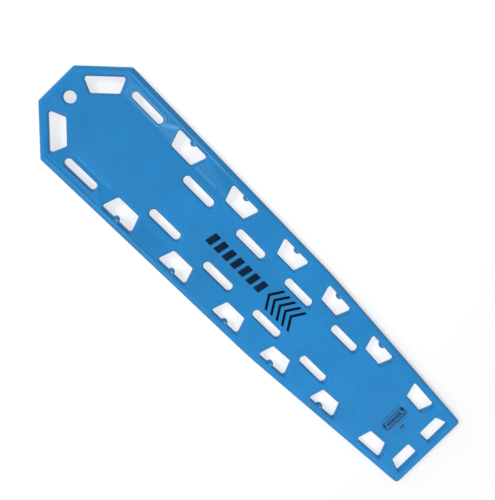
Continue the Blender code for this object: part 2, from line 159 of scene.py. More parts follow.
# Painted highlights, pale streaks that stand in for sheen on the skin: lines in plan (from, to, half width,
# strength) and the ring round the lip of the right wing slot
PAINTED_HIGHLIGHT_LINES = (
    ((12 * MM, 67 * MM), (122 * MM, 176 * MM), 2.2 * MM, 0.4),
    ((122 * MM, 178.5 * MM), (600 * MM, 178.5 * MM), 2.3 * MM, 0.5),
    ((130 * MM, -184.5 * MM), (900 * MM, -184.5 * MM), 2.3 * MM, 0.35),
    ((900 * MM, -184.5 * MM), (1065 * MM, -184.5 * MM), 2.3 * MM, 0.25),
    ((1065 * MM, -184.5 * MM), (1790 * MM, -149.4 * MM), 2.3 * MM, 0.25),
    ((195 * MM, -111 * MM), (330 * MM, -111 * MM), 1.8 * MM, 0.4),
    ((314 * MM, 145 * MM), (347 * MM, 166 * MM), 12 * MM, 0.8),
    ((346 * MM, 165 * MM), (366 * MM, 118 * MM), 5 * MM, 0.5),
    ((475 * MM, 121 * MM), (560 * MM, 122 * MM), 5 * MM, 0.5),
)
PAINTED_LIP_HIGHLIGHT = 1.0
PAINTED_LIP_HIGHLIGHT_HALF_WIDTH = 3.2 * MM

# Label and its pocket, and the printing
LABEL_LOW, LABEL_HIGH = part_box("label_plate")
LABEL_S = (LABEL_LOW.x - HEAD_X, LABEL_HIGH.x - HEAD_X)
LABEL_HALF_WIDTH = LABEL_HIGH.y
LABEL_CORNER = 3.2 * MM
LABEL_THICKNESS = 0.55 * MM
LABEL_POCKET = 0.7 * MM
LABEL_RISE = 0.12 * MM
LABEL_EDGE = 0.15 * MM
FLANGE_GAP = 0.02 * MM
POCKET_INSET = 0.9 * MM
POCKET_SLOPE = 1.2 * MM
INK_RISE = 0.06 * MM
INK_DEPTH = 0.2 * MM
INK_EDGE = 0.05 * MM
FRAME_S = (1606 * MM, 1638 * MM)
FRAME_Y = (-46 * MM, 49 * MM)
FRAME_LINES = (3.5 * MM, 5 * MM)
FRAME_LINES_SHORTER = 1 * MM
FRAME_SIDE = 4 * MM
FRAME_SIDE_SHIFT = 0.4 * MM
FRAME_SIDE_SHORTER = 4.8 * MM
PRINT_CORNER = 0.6 * MM
BLOCK_CORNER = 0.4 * MM
BLOCK_GAPS = (0.8, 1.8)
SMALL_S = 1666 * MM
SMALL_BARS = ((6 * MM, 6 * MM), (-4 * MM, 5 * MM))
SMALL_LENGTH = 11 * MM
SMALL_SLANT = 2 * MM
BARS_S = (660 * MM, 928 * MM)
BAR_COUNT = 7
BAR_SHARE = 0.66
BAR_LONG = 42 * MM
BAR_SLANT = 9 * MM
BAR_CORNER = 2 * MM
CHEVRONS_S = 944 * MM
CHEVRON_STEP = 27.5 * MM
CHEVRON_COUNT = 5
CHEVRON_STROKE = 9.5 * MM
CHEVRON_REACH = 30 * MM
CHEVRON_SPREAD = 44 * MM
CHEVRON_CORNER = 1 * MM

# On the label: bars (s, y, length, width), and rows of blocks (s, height, start y, end y, seed, least width,
# most width, gap). Their s is past the near line of the label's frame.
HEAVY_BARS = (
    (8.7 * MM, FRAME_Y[1] - 5.8 * MM, 13 * MM, 7 * MM),
    (9.7 * MM, FRAME_Y[0] + 4.8 * MM, 15 * MM, 5 * MM),
)
HEAVY_ROW = (16 * MM, 7.5 * MM, -34 * MM, 35 * MM, 3, 3 * MM, 8 * MM, 1 * MM)
FINE_ROWS = (
    (8 * MM, 5.5 * MM, -35 * MM, 37 * MM, 5, 2 * MM, 5 * MM, 1.3 * MM),
    (24 * MM, 5 * MM, -40 * MM, 43 * MM, 7, 1.5 * MM, 4 * MM, 0.9 * MM),
    (-11 * MM, 2.8 * MM, -41 * MM, 47 * MM, 11, 4 * MM, 12 * MM, 0.8 * MM),
    (43 * MM, 2 * MM, -24 * MM, 27 * MM, 13, 2 * MM, 6 * MM, 1.3 * MM),
)

# Pins and plugs
PINS = sorted(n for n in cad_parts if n.startswith("clip_pin_"))
PLUGS = ("vent_plug", "fill_plug")
PIN_SHANK = 2.2 * MM
HOLE_PLAY = 0.3 * MM
RECESS_RADIUS = 4.2 * MM
RECESS_SLOPE = 1 * MM
HEAD_STANDS = 0.9 * MM
HEAD_RIM = 0.3 * MM
DOME_RINGS = 5
DOME_SHARE = 0.94
PLUG_CHAMFER = 0.4 * MM
PLUG_EDGE = 0.5 * MM
PLUG_EDGE_MIDDLE = 0.15 * MM
SOCKET_SIDES = 6

# Floor: its size, and its painted glow, which stands in for light, under the board and beside it, from the
# head to the foot
FLOOR_HALF = 6.0
FLOOR_GRID = 7 * MM
FLOOR_GAP = 0.5 * MM
PAINTED_GLOW_UNDER = 0.67
PAINTED_GLOW_BESIDE = (0.70, 0.51)

# Camera, with its turn in degrees
CAMERA_PLACE = (-0.91161, 0.126866, 2.51847)
CAMERA_TURN = (-13.7997, -11.0315, 46.7610)
CAMERA_LENS = 57.6
CAMERA_SENSOR = 36

# Fineness of the meshes
ARC_SPACING = 1.7 * MM
MOST_ARC_STEPS = 40
EDGE_SPACING = 7 * MM
LONG_STRETCH = 1.6
GRID = 11 * MM
WING_GRID = 6 * MM
WING_GRID_Y = 100 * MM
ROW_STEP = 0.87
LOFT_RINGS = 9
LOFT_DEPTH = 6 * MM
INNER_LOFT_DEPTH = 2 * MM
INNER_LOFT_RINGS = 3
FILL_CLEAR = 0.5 * MM
RING_DEPTHS = (1.2 * MM, 2.6 * MM, 4.2 * MM, 6 * MM, 9 * MM)
RING_PLAY = 0.25 * MM
GROOVE_ROWS = np.arange(-2.4, 1.7, 0.8) * MM
RIDGE_ROWS = np.arange(-5, 6.1, 1.25) * MM
RIDGE_ROWS_S = 112 * MM
FOLD_ROWS = (-3 * MM, -1.5 * MM, 0, 1.5 * MM, 3 * MM)
LIP_ROWS = (7 * MM, 8 * MM, 9.5 * MM, 11 * MM)
LIP_SPACING = 4 * MM
RUNNER_ROWS = (-1 * MM, 0, 0.15 * MM, 0.6 * MM, 1.4 * MM, 2.5 * MM, 4 * MM, 7 * MM)
SEAT_RADII = (3.1 * MM, 3.7 * MM, 4.0 * MM, 4.4 * MM, 4.8 * MM, 5.6 * MM)
POCKET_STEPS = 33
TURNED_STEPS = 36
FINE_GAP = 0.9 * MM
WING_GAP = 3 * MM
GRID_GAP = 5 * MM
INNER_GRID_GAP = 12 * MM
HOLE_GAP_FINE = 0.5 * MM
HOLE_GAP = 2 * MM
SLIVER_AREA = 0.001 * MM**2
SAME_PLACE = 0.001 * MM


# Plan outlines: rows of (s, y, normal s, normal y), where the normal points into the board's material


def arc(centre, radius, start, turn, inwards=1):
    """Points on an arc, from angle start through turn. Normals point away from the centre if inwards is 1."""
    steps = max(2, math.ceil(abs(turn) * (radius + LOFT_DEPTH / 2) / ARC_SPACING))
    steps = min(steps, MOST_ARC_STEPS)
    angles = start + turn * np.arange(steps + 1) / steps
    ways = np.column_stack((np.cos(angles), np.sin(angles)))
    return np.hstack((np.asarray(centre) + radius * ways, inwards * ways))


def rounded(corners, inwards=1):
    """The closed outline through corners (s, y, radius) with an arc at each."""
    rows = []
    for index, (s, y, radius) in enumerate(corners):
        corner = Vector((s, y))
        back = (Vector(corners[index - 1][:2]) - corner).normalized()
        ahead = (Vector(corners[(index + 1) % len(corners)][:2]) - corner).normalized()
        half = back.angle(ahead) / 2
        centre = corner + (back + ahead).normalized() * (radius / math.sin(half))
        start = corner + back * (radius / math.tan(half)) - centre
        turn = math.copysign(math.pi - 2 * half, ahead.cross(back))
        rows.append(arc(centre, radius, math.atan2(start.y, start.x), turn, inwards))
    return np.vstack(rows)


def with_straights(rows, spacing):
    """The same closed outline with points put in along its straight stretches."""
    made = []
    for here, there in zip(rows, np.roll(rows, -1, axis=0)):
        gap = math.hypot(*(there[:2] - here[:2]))
        count = round(gap / spacing) if gap > LONG_STRETCH * spacing else 1
        for share in np.arange(count) / count:
            made.append(here + (there - here) * share)
    return np.array(made)


def board_outline():
    side = [
        (0, HEAD_HALF_WIDTH, HEAD_CORNER_RADIUS),
        (SHOULDER_S, HALF_WIDTH, HEAD_CORNER_RADIUS),
        (TAPER_S, HALF_WIDTH, TAPER_BLEND_RADIUS),
        (LENGTH, FOOT_HALF_WIDTH, FOOT_CORNER_RADIUS),
    ]
    return rounded(side + [(s, -y, r) for s, y, r in reversed(side)], -1)


def in_hand_frame(rows, place):
    """Rows given along a handhold's long side and inwards from it, put where place = (s, y, angle) says."""
    s, y, angle = place
    turn = np.array(((math.cos(angle), -math.sin(angle)), (-math.sin(angle), -math.cos(angle))))
    return np.hstack((rows[:, :2] @ turn + (s, y), rows[:, 2:] @ turn))


def lobe_outline(shift):
    """A half-round lobe from left to right, with a fillet at each root."""
    reach = math.sqrt((LOBE_RADIUS + LOBE_ROOT) ** 2 - LOBE_ROOT**2)
    lean = math.asin(LOBE_ROOT / (LOBE_RADIUS + LOBE_ROOT))
    quarter = math.pi / 2
    left = arc((shift - reach, LOBE_ROOT), LOBE_ROOT, -quarter, quarter - lean)
    tip = arc((shift, 0), LOBE_RADIUS, math.pi - lean, 2 * lean - math.pi, -1)
    right = arc((shift + reach, LOBE_ROOT), LOBE_ROOT, math.pi + lean, quarter - lean)
    return np.vstack((left, tip[1:-1], right))


def handhold(place, depth, lobe_shift):
    corners = [
        (HAND_LONG / 2, 0, HAND_CORNER),
        (HAND_SHORT / 2, depth, HAND_CORNER),
        (-HAND_SHORT / 2, depth, HAND_CORNER),
        (-HAND_LONG / 2, 0, HAND_CORNER),
    ]
    rows = rounded(corners)
    if lobe_shift is not None:
        rows = np.vstack((rows, lobe_outline(lobe_shift)))
    return in_hand_frame(rows, place)


def hand_places():
    """Place, depth and lobe shift of each handhold on one side, from head to foot, without the foot ones."""
    normal = Vector((math.sin(CHAMFER_ANGLE), -math.cos(CHAMFER_ANGLE)))
    along = Vector((math.cos(CHAMFER_ANGLE), math.sin(CHAMFER_ANGLE)))
    head = Vector((0, HEAD_HALF_WIDTH)) + along * HAND_HEAD_CENTRE + normal * (BAR_WIDTH + HAND_OFFSET)
    places = [((head.x, head.y, -CHAMFER_ANGLE), HAND_DEPTH_HEAD, None)]
    for s, shift in zip(HAND_STRAIGHT_S, LOBE_SHIFTS):
        places.append(((s, HALF_WIDTH - BAR_WIDTH, 0), HAND_DEPTH, shift))
    for s, shift in zip(HAND_TAPERED_S, LOBE_SHIFTS[len(HAND_STRAIGHT_S):]):
        edge = HALF_WIDTH - (s - TAPER_S) * math.tan(TAPER_ANGLE)
        places.append(((s, edge - BAR_WIDTH - HAND_OFFSET, TAPER_ANGLE), HAND_DEPTH_TAPERED, shift))
    return places


def foot_handhold():
    near_s, far_s = FOOT_HAND_S
    inner, outer_near, outer_far = FOOT_HAND_Y
    corners = ((near_s, inner), (far_s, inner), (far_s, outer_far), (near_s, outer_near))
    return rounded([(s, y, HAND_CORNER) for s, y in corners])


def circle(s, y, radius, inwards=1):
    return arc((s, y), radius, 0, 2 * math.pi, inwards)[:-1]


def slot(s, y, size):
    radius = size[1] / 2
    half = size[0] / 2 - radius
    far_end = arc((s + half, y), radius, -math.pi / 2, math.pi)
    near_end = arc((s - half, y), radius, math.pi / 2, math.pi)
    return np.vstack((far_end, near_end))


def board_plan(spacing=EDGE_SPACING):
    """The board's outline, then the outline of every opening."""
    one_side = [handhold(*hand) for hand in hand_places()]
    one_side.append(foot_handhold())
    one_side.append(slot(*SLOT_WING, SLOT_WING_SIZE))
    one_side.extend(slot(s, SLOT_DECK_Y, SLOT_SIZE) for s in SLOT_DECK_S)
    other_side = [rows * (1, -1, 1, -1) for rows in one_side]
    loops = [board_outline(), *one_side, *other_side, circle(HOLE_S, 0, HOLE_RADIUS)]
    return [with_straights(rows, spacing) for rows in loops]


def moved_in(rows, depth):
    """The outline's points, moved into the material by depth."""
    return rows[:, :2] + rows[:, 2:] * depth


def nearest_edge(loops):
    """A function that gives how far into the material a plan point is. Outside the board it is negative."""
    rows = np.vstack([with_straights(loop, ARC_SPACING / 2) for loop in loops])
    tree = KDTree(len(rows))
    for index, row in enumerate(rows):
        tree.insert((row[0], row[1], 0), index)
    tree.balance()

    def depth(s, y):
        place, index, gap = tree.find((s, y, 0))
        row = rows[index]
        return math.copysign(gap, (s - place.x) * row[2] + (y - place.y) * row[3])

    return depth


def inside(points, polygon):
    """Which of the points are inside a polygon."""
    found = np.zeros(len(points), bool)
    low, high = polygon.min(axis=0), polygon.max(axis=0)
    near = np.all((points >= low) & (points <= high), axis=1)
    picked = points[near]
    odd = np.zeros(len(picked), bool)
    for (s1, y1), (s2, y2) in zip(polygon, np.roll(polygon, -1, axis=0)):
        if y1 == y2:
            continue
        crosses = (picked[:, 1] >= min(y1, y2)) & (picked[:, 1] < max(y1, y2))
        where = s1 + (picked[:, 1] - y1) * (s2 - s1) / (y2 - y1)
        odd ^= crosses & (picked[:, 0] < where)
    found[near] = odd
    return found


# Heights of the moulded faces


def ease(value):
    """0 below 0, 1 above 1 and a smooth step between."""
    t = min(max(value, 0.0), 1.0)
    return t * t * (3 - 2 * t)


def soft_min(a, b, blend):
    h = min(max(0.5 + (b - a) / (2 * blend), 0.0), 1.0)
    return b + (a - b) * h - blend * h * (1 - h)


def bump(value, half_width):
    """A rounded ridge: 1 where value is 0, and 0 beyond half_width."""
    t = min(abs(value) / half_width, 1.0)
    return (1 - t * t) ** 2


def edge_share(outer, opening, start=0.0):
    """How high the rounded edges have risen, from 0 at the seam to 1 on the flat face.

    The depths are from the board's outline and from the nearest opening, and start is where the edges begin.
    """
    share = 1.0
    for depth, inset in ((outer, OUTER_INSET), (opening, OPENING_INSET)):
        t = min(max((inset - depth) / (inset - start), 0.0), 1.0)
        share *= (1 - t**EDGE_POWER) ** (1 / EDGE_POWER)
    return share


def wing_slot_gap(s, y):
    """Distance outside the edge of the strap slot in the wing."""
    length, width = SLOT_WING_SIZE
    along = max(abs(s - SLOT_WING[0]) - (length - width) / 2, 0)
    return math.hypot(along, abs(y) - SLOT_WING[1]) - width / 2


def saddle(s, y):
    """A soft ridge between the end of a wing slot and the corner of the first handhold, from 0 to 1."""
    return bump(line_gap(s, abs(y), SADDLE_FROM, SADDLE_TO), SADDLE_HALF_WIDTH)


def line_gap(s, y, start, end):
    """Distance from the line between two plan places."""
    line = Vector(end) - Vector(start)
    way = Vector((s, y)) - Vector(start)
    return (way - line * min(max(way.dot(line) / line.length_squared, 0), 1)).length


def painted_highlight(s, y):
    """How strong the painted highlight is, from 0 to 1: along the lines, and round the slot in the right
    wing.
    """
    share = 0.0
    for start, end, half_width, strength in PAINTED_HIGHLIGHT_LINES:
        share = max(share, strength * bump(line_gap(s, y, start, end), half_width))
    if y > 0:
        share = max(share, PAINTED_LIP_HIGHLIGHT * bump(wing_slot_gap(s, y) - LIP_GAP, PAINTED_LIP_HIGHLIGHT_HALF_WIDTH))
    return share


def wing_rise(s, y):
    """Wings that rise from a crease to a rim with a ridge along it, and fade out on the way to the foot."""
    across = (abs(y) - CREASE_Y) / (RIM_Y - CREASE_Y)
    along = (WING_END_S - s) / (WING_END_S - WING_FADE_S)
    share = soft_min(soft_min(across, along, WING_BLEND), 1.0, RIM_BLEND)
    share = -soft_min(-share, 0.0, CREASE_BLEND)
    top = TOP_Z - DECK_Z - RIDGE_RISE
    ridge = RIDGE_RISE * bump(abs(y) - RIDGE_Y, RIDGE_HALF_WIDTH)
    groove = GROOVE_DEPTH * bump(abs(y) - GROOVE_Y, GROOVE_HALF_WIDTH)
    return top * share + (ridge - groove) * ease(along) * ease((s - RIDGE_START_S) / RIDGE_START_FADE)


def label_gap(s, y):
    """Distance outside the label plate's edge in plan, and negative on it."""
    return max(LABEL_S[0] - s, s - LABEL_S[1], abs(y) - LABEL_HALF_WIDTH)


def deck_height(s, y, outer, opening):
    """The deck's outer face: edges, wings, lips, fold, saddles and the label's pocket."""
    rise = wing_rise(s, y) if s < WING_END_S else 0.0
    share = edge_share(outer, opening)
    z = MID_Z + (DECK_Z - MID_Z + rise) * share
    if s < SLOT_WING[0] + SLOT_WING_SIZE[0] and abs(y) > FOLD_Y - FOLD_HALF_WIDTH:
        z += LIP_RISE * bump(wing_slot_gap(s, y) - LIP_GAP, LIP_HALF_WIDTH)
        ends = ease((s - FOLD_S[0]) / FOLD_FADE) * ease((FOLD_S[1] - s) / FOLD_FADE)
        z += FOLD_RISE * bump(y + FOLD_Y, FOLD_HALF_WIDTH) * ends + SADDLE_RISE * saddle(s, y)
    if label_gap(s, y) < 0:
        z -= LABEL_POCKET * ease(0.5 - (label_gap(s, y) + POCKET_INSET) / POCKET_SLOPE)
    return min(z, TOP_Z)


def deck_inner_height(s, y, outer, opening):
    across = (abs(y) - CREASE_Y) / (RIM_Y - CREASE_Y)
    along = (WING_END_S - s) / (WING_END_S - WING_FADE_S)
    rise = INNER_RISE * min(max(min(across, along), 0), 1)
    return MID_Z + (DECK_Z - WALL - MID_Z + rise) * edge_share(outer, opening, WALL)


def runner_depth(s, y):
    """How far inside a runner's outline a plan point is."""
    half = RUNNER_WIDTH / 2
    along = max(RUNNER_S[0] + half - s, s - RUNNER_S[1] + half, 0)
    return half - math.hypot(along, abs(y) - RUNNER_Y)


def base_height(s, y, outer, opening):
    """The underside's outer face: edges and runners."""
    z = MID_Z - (MID_Z - BOTTOM_Z) * edge_share(outer, opening)
    deep = runner_depth(s, y)
    if deep > 0:
        t = 1 - min(deep / RUNNER_SLOPE, 1)
        z -= (z - CAD_LOW.z) * math.sqrt(1 - t**2)
    return z


def base_inner_height(s, y, outer, opening):
    return MID_Z - (MID_Z - BOTTOM_Z - WALL) * edge_share(outer, opening, WALL)


# Skins


def grid_points(spacing, low, high):
    """Staggered rows of plan points between two corners."""
    points = []
    for row, y in enumerate(np.arange(low[1], high[1], spacing * ROW_STEP)):
        start = low[0] + (row % 2) * spacing / 2
        points.extend((s, y) for s in np.arange(start, high[0], spacing))
    return points


def feature_points():
    """Closer rows of points along the deck's rims, its fold, the lips of its wing slots and its label."""
    points = []
    rows = np.append(GROOVE_Y + GROOVE_ROWS, RIDGE_Y + RIDGE_ROWS)
    for s in np.arange(RIDGE_ROWS_S, WING_END_S, WING_GRID):
        points.extend((s, side * y) for y in rows for side in (1, -1))
    for s in np.arange(FOLD_S[0] - WING_GRID, FOLD_S[1] + WING_GRID, WING_GRID):
        points.extend((s, row - FOLD_Y) for row in FOLD_ROWS)
    wing = slot(*SLOT_WING, SLOT_WING_SIZE)
    for gap in LIP_ROWS:
        ring = moved_in(with_straights(wing, LIP_SPACING), gap)
        points.extend((s, side * y) for s, y in ring for side in (1, -1))
    middle = (LABEL_S[0] + LABEL_S[1]) / 2
    for inset in (POCKET_INSET - POCKET_SLOPE / 2, POCKET_INSET + POCKET_SLOPE / 2):
        along = middle - LABEL_S[0] - inset
        across = LABEL_HALF_WIDTH - inset
        for t in np.linspace(-1, 1, POCKET_STEPS):
            points.extend((middle + side * along, t * across) for side in (1, -1))
            points.extend((middle + t * along, side * across) for side in (1, -1))
    return points


def runner_points():
    """Closer rows of points along the runners' slopes."""
    points = []
    half = RUNNER_WIDTH / 2
    corners = [(RUNNER_S[0], -half), (RUNNER_S[1], -half), (RUNNER_S[1], half), (RUNNER_S[0], half)]
    outline = rounded([(s, y + RUNNER_Y, half * RUNNER_END_SHARE) for s, y in corners], -1)
    for deep in RUNNER_ROWS:
        ring = moved_in(with_straights(outline, EDGE_SPACING), deep)
        points.extend((s, side * y) for s, y in ring for side in (1, -1))
    return points


def spread_out(points, least, kept):
    """The points that are at least that far from those kept before them."""
    cells = {}
    for s, y in kept:
        cells.setdefault((int(s // least), int(y // least)), []).append((s, y))
    made = []
    for s, y in points:
        i, j = int(s // least), int(y // least)
        near = (p for a in (-1, 0, 1) for b in (-1, 0, 1) for p in cells.get((i + a, j + b), ()))
        if all((p[0] - s) ** 2 + (p[1] - y) ** 2 > least**2 for p in near):
            cells.setdefault((i, j), []).append((s, y))
            made.append((s, y))
    return made


def depths_to(loft_depth, inset, rings):
    """Depths of the lofted rings, closer together where the edge is steep."""
    last = math.acos((1 - loft_depth / inset) ** (EDGE_POWER / 2))
    return [inset * (1 - math.cos(last * k / rings) ** (2 / EDGE_POWER)) for k in range(1, rings + 1)]


class Skin:
    """One half of the moulded skin: an outer face, an inner face and the seam and holes that join them."""

    def __init__(self):
        self.places = []
        self.faces = []

    def ring(self, points, heights):
        first = len(self.places)
        self.places.extend((s, y, z) for (s, y), z in zip(points, heights))
        return list(range(first, len(self.places)))

    def bridge(self, ring, other):
        for i in range(len(ring)):
            self.faces.append((ring[i - 1], ring[i], other[i], other[i - 1]))

    def face(self, start, loft_depth, rings, height, holes, extra, seam):
        """A moulded face. Returns the rings of indices along the seam, and then round the holes."""
        seam_rings = []
        last_rings = []
        for rows in PLAN:
            here = None
            is_board = rows is PLAN[0]
            inset = (OUTER_INSET if is_board else OPENING_INSET) - start
            for depth, z in seam:
                points = moved_in(rows, start + depth)
                there = self.ring(points, [z] * len(points))
                if here is None:
                    seam_rings.append(there)
                else:
                    self.bridge(here, there)
                here = there
            for depth in depths_to(loft_depth, inset, rings):
                points = moved_in(rows, start + depth)
                if is_board:
                    heights = [height(s, y, start + depth, OPENING_DEPTH(s, y)) for s, y in points]
                else:
                    heights = [height(s, y, OUTER_DEPTH(s, y), start + depth) for s, y in points]
                there = self.ring(points, heights)
                self.bridge(here, there)
                here = there
            last_rings.append(here)
        hole_rings = []
        for points in holes:
            heights = [height(s, y, OUTER_DEPTH(s, y), OPENING_DEPTH(s, y)) for s, y in points]
            hole_rings.append(self.ring(points, heights))
        self.fill(last_rings, hole_rings, extra, height, start + loft_depth)
        return seam_rings + hole_rings

    def fill(self, outlines, holes, extra, height, least_depth):
        """The middle of a face, inside the last lofted rings and round the holes."""
        known = [index for ring in outlines + holes for index in ring]
        points = [self.places[index][:2] for index in known]
        edges = []
        for ring in outlines + holes:
            first = len(edges)
            edges.extend((first + k, first + (k + 1) % len(ring)) for k in range(len(ring)))
        points += [(s, y) for s, y in extra if edge_depth(s, y) > least_depth + FILL_CLEAR]
        made = delaunay_2d_cdt([Vector(p) for p in points], edges, [], 0, SAME_PLACE / 10)
        flat, faces, origins = made[0], made[2], made[3]
        index_of = []
        for (s, y), origin in zip(flat, origins):
            if origin and min(origin) < len(known):
                index_of.append(known[min(origin)])
            else:
                self.places.append((s, y, height(s, y, OUTER_DEPTH(s, y), OPENING_DEPTH(s, y))))
                index_of.append(len(self.places) - 1)
        flat = np.array([tuple(p) for p in flat])
        corners = flat[np.array([tuple(face) for face in faces])]
        middles = corners.mean(axis=1)
        one, other = np.moveaxis(corners[:, 1:] - corners[:, :1], 1, 0)
        areas = np.abs(one[:, 0] * other[:, 1] - one[:, 1] * other[:, 0]) / 2
        rings = [np.array([self.places[i][:2] for i in ring]) for ring in outlines + holes]
        keep = inside(middles, rings[0]) & (areas > SLIVER_AREA)
        for ring in rings[1:]:
            keep &= ~inside(middles, ring)
        self.faces.extend(tuple(index_of[i] for i in face) for face, good in zip(faces, keep) if good)


def closed_mesh(name, places, faces, angle=35):
    """A closed mesh from places in metres, s from the head edge, with smooth shading up to an angle."""
    bm = bmesh.new()
    verts = [bm.verts.new((s + HEAD_X, y, z)) for s, y, z in places]
    for face in faces:
        if len(set(face)) > 2:
            bm.faces.new([verts[i] for i in face])
    bmesh.ops.delete(bm, geom=[v for v in bm.verts if not v.link_faces], context="VERTS")
    bmesh.ops.remove_doubles(bm, verts=bm.verts, dist=SAME_PLACE)
    bmesh.ops.recalc_face_normals(bm, faces=bm.faces)
    mesh = bpy.data.meshes.new(name)
    bm.to_mesh(mesh)
    bm.free()
    mesh.shade_smooth()
    mesh.set_sharp_from_angle(angle=math.radians(angle))
    return mesh


def add_wear_and_painted_highlight(mesh):
    """Stores how far each vertex is from the nearest edge in plan, and how strong its painted highlight is.
    """
    for name, value in (("edge_depth", edge_depth), ("painted_highlight", painted_highlight)):
        attribute = mesh.attributes.new(name, "FLOAT", "POINT")
        attribute.data.foreach_set("value", [abs(value(v.co.x - HEAD_X, v.co.y)) for v in mesh.vertices])


PLAN = board_plan()
OUTER_DEPTH = nearest_edge(PLAN[:1])
OPENING_DEPTH = nearest_edge(PLAN[1:])


def edge_depth(s, y):
    return min(OUTER_DEPTH(s, y), OPENING_DEPTH(s, y))


def face_points(loft_depth):
    """Points for the middle of a face, on rings that follow the edges."""
    points = []
    for depth in RING_DEPTHS:
        reach = loft_depth + depth
        for rows in PLAN:
            points.extend((s, y) for s, y in moved_in(rows, reach) if edge_depth(s, y) > reach - RING_PLAY)
    return points


def in_scene(name, data):
    """A new object with this name and data, put into the scene."""
    obj = bpy.data.objects.new(name, data)
    bpy.context.scene.collection.objects.link(obj)
    return obj


def piece(name, mesh, material):
    """A visible piece on the root body, with its name and material."""
    obj = in_scene(name, mesh)
    mesh.materials.append(material)
    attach(obj, "root")
    return obj


def node_centre(node):
    low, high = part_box(node)
    return (low + high) / 2


def plan_centre(node):
    """The place (s, y) of a node's centre."""
    centre = node_centre(node)
    return centre.x - HEAD_X, centre.y


def recessed(height, up):
    """The same height, lowered round each pin so that its head stands on a flat seat."""
    seats = []
    for name in PINS:
        low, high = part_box(name)
        seats.append((*plan_centre(name), high.z - HEAD_STANDS if up > 0 else low.z + HEAD_STANDS))

    def lowered(s, y, outer, opening):
        z = height(s, y, outer, opening)
        for pin_s, pin_y, seat in seats:
            if abs(s - pin_s) < 2 * RECESS_RADIUS and abs(y - pin_y) < 2 * RECESS_RADIUS:
                gap = math.hypot(s - pin_s, y - pin_y) - RECESS_RADIUS
                share = ease(0.5 - gap / RECESS_SLOPE)
                z += (seat - z) * share if (seat - z) * up < 0 else 0
        return z

    return lowered


def hole_points(up):
    """Outlines of the holes through one half: the pins' shanks, and the plugs that sit on its side."""
    holes = [circle(*plan_centre(name), PIN_SHANK + HOLE_PLAY) for name in PINS]
    for name in PLUGS:
        if (node_centre(name).z - MID_Z) * up > 0:
            low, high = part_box(name)
            holes.append(circle(*plan_centre(name), (high.y - low.y) / 2 + HOLE_PLAY))
    return [rows[:, :2] for rows in holes]


def pin_points():
    """Rings of points round the pins, on their seats and the slopes beside them."""
    points = []
    for name in PINS:
        for radius in SEAT_RADII:
            rows = circle(*plan_centre(name), radius)
            points.extend(tuple(p) for p in rows[:, :2])
    return points


def clear_of(points, holes, least):
    """The points that are not in or close to the round holes."""
    rounds = [(hole.mean(axis=0), np.ptp(hole[:, 0]) / 2 + least) for hole in holes]
    return [p for p in points if all(math.hypot(p[0] - c[0], p[1] - c[1]) > r for c, r in rounds)]


def half_skin(name, up, outer, inner, features, material):
    """A half of the skin, whose faces are at the outer and inner heights."""
    skin = Skin()
    holes = hole_points(up)
    seam_z = MID_Z + up * SEAM_GAP
    kept = [tuple(p) for hole in holes for p in hole]
    detail = clear_of(face_points(LOFT_DEPTH) + pin_points() + features, holes, HOLE_GAP_FINE)
    fine = spread_out(detail, FINE_GAP, kept)
    grid = grid_points(GRID, (0, -HALF_WIDTH), (LENGTH, HALF_WIDTH))
    if up > 0:
        wing = grid_points(WING_GRID, (0, WING_GRID_Y), (WING_END_S + GRID, HALF_WIDTH))
        fine += spread_out([(s, side * y) for s, y in wing for side in (1, -1)], WING_GAP, kept + fine)
    fine += spread_out(clear_of(grid, holes, HOLE_GAP), GRID_GAP, kept + fine)
    seam = ((SEAM_DEPTH, seam_z), (0, seam_z + up * SEAM_DEPTH))
    outer_rings = skin.face(0, LOFT_DEPTH, LOFT_RINGS, recessed(outer, up), holes, fine, seam)
    coarse = spread_out(clear_of(face_points(LOFT_DEPTH)[::2], holes, HOLE_GAP), GRID_GAP, kept)
    coarse += spread_out(clear_of(grid[::3], holes, HOLE_GAP), INNER_GRID_GAP, kept + coarse)
    seam = ((0, seam_z),)
    inner_rings = skin.face(WALL, INNER_LOFT_DEPTH, INNER_LOFT_RINGS, inner, holes, coarse, seam)
    for ring, other in zip(outer_rings, inner_rings):
        skin.bridge(ring, other)
    mesh = closed_mesh(name, skin.places, skin.faces, angle=50)
    add_wear_and_painted_highlight(mesh)
    return piece(name, mesh, material)


# Small pieces


def stacked(name, outlines, levels, angle=35):
    """Closed slabs, one for each outline, through levels (z, how far the outline's edge is moved in)."""
    places = []
    faces = []
    for rows in outlines:
        rings = []
        for z, depth in levels:
            first = len(places)
            places.extend((s, y, z) for s, y in moved_in(rows, depth))
            rings.append(list(range(first, len(places))))
        faces.extend((rings[0], rings[-1]))
        for ring, other in zip(rings, rings[1:]):
            faces.extend((ring[i - 1], ring[i], other[i], other[i - 1]) for i in range(len(ring)))
    return closed_mesh(name, places, faces, angle)


def turned(name, centre, profile):
    """A closed turned mesh through (radius, z, sides), where sides above 0 makes that ring a polygon."""
    places = []
    rings = []
    for radius, z, sides in profile:
        first = len(places)
        for angle in 2 * math.pi * np.arange(TURNED_STEPS) / TURNED_STEPS:
            reach = radius
            if sides:
                part = 2 * math.pi / sides
                reach = radius * math.cos(part / 2) / math.cos(angle % part - part / 2)
            s = centre.x - HEAD_X + reach * math.cos(angle)
            places.append((s, centre.y + reach * math.sin(angle), z))
        rings.append(list(range(first, len(places))))
    faces = [rings[0], rings[-1]]
    for ring, other in zip(rings, rings[1:]):
        faces.extend((ring[i - 1], ring[i], other[i], other[i - 1]) for i in range(len(ring)))
    return closed_mesh(name, places, faces)


def bar(s, y, length, width, slant=0.0, corner=PRINT_CORNER):
    """A printed bar's outline: its length along s, its width along y, its +y end moved footwards by slant."""
    corners = []
    for ds, dy in ((-1, -1), (1, -1), (1, 1), (-1, 1)):
        corners.append((s + ds * length / 2 + dy * slant / 2, y + dy * width / 2, corner))
    return rounded(corners, -1)


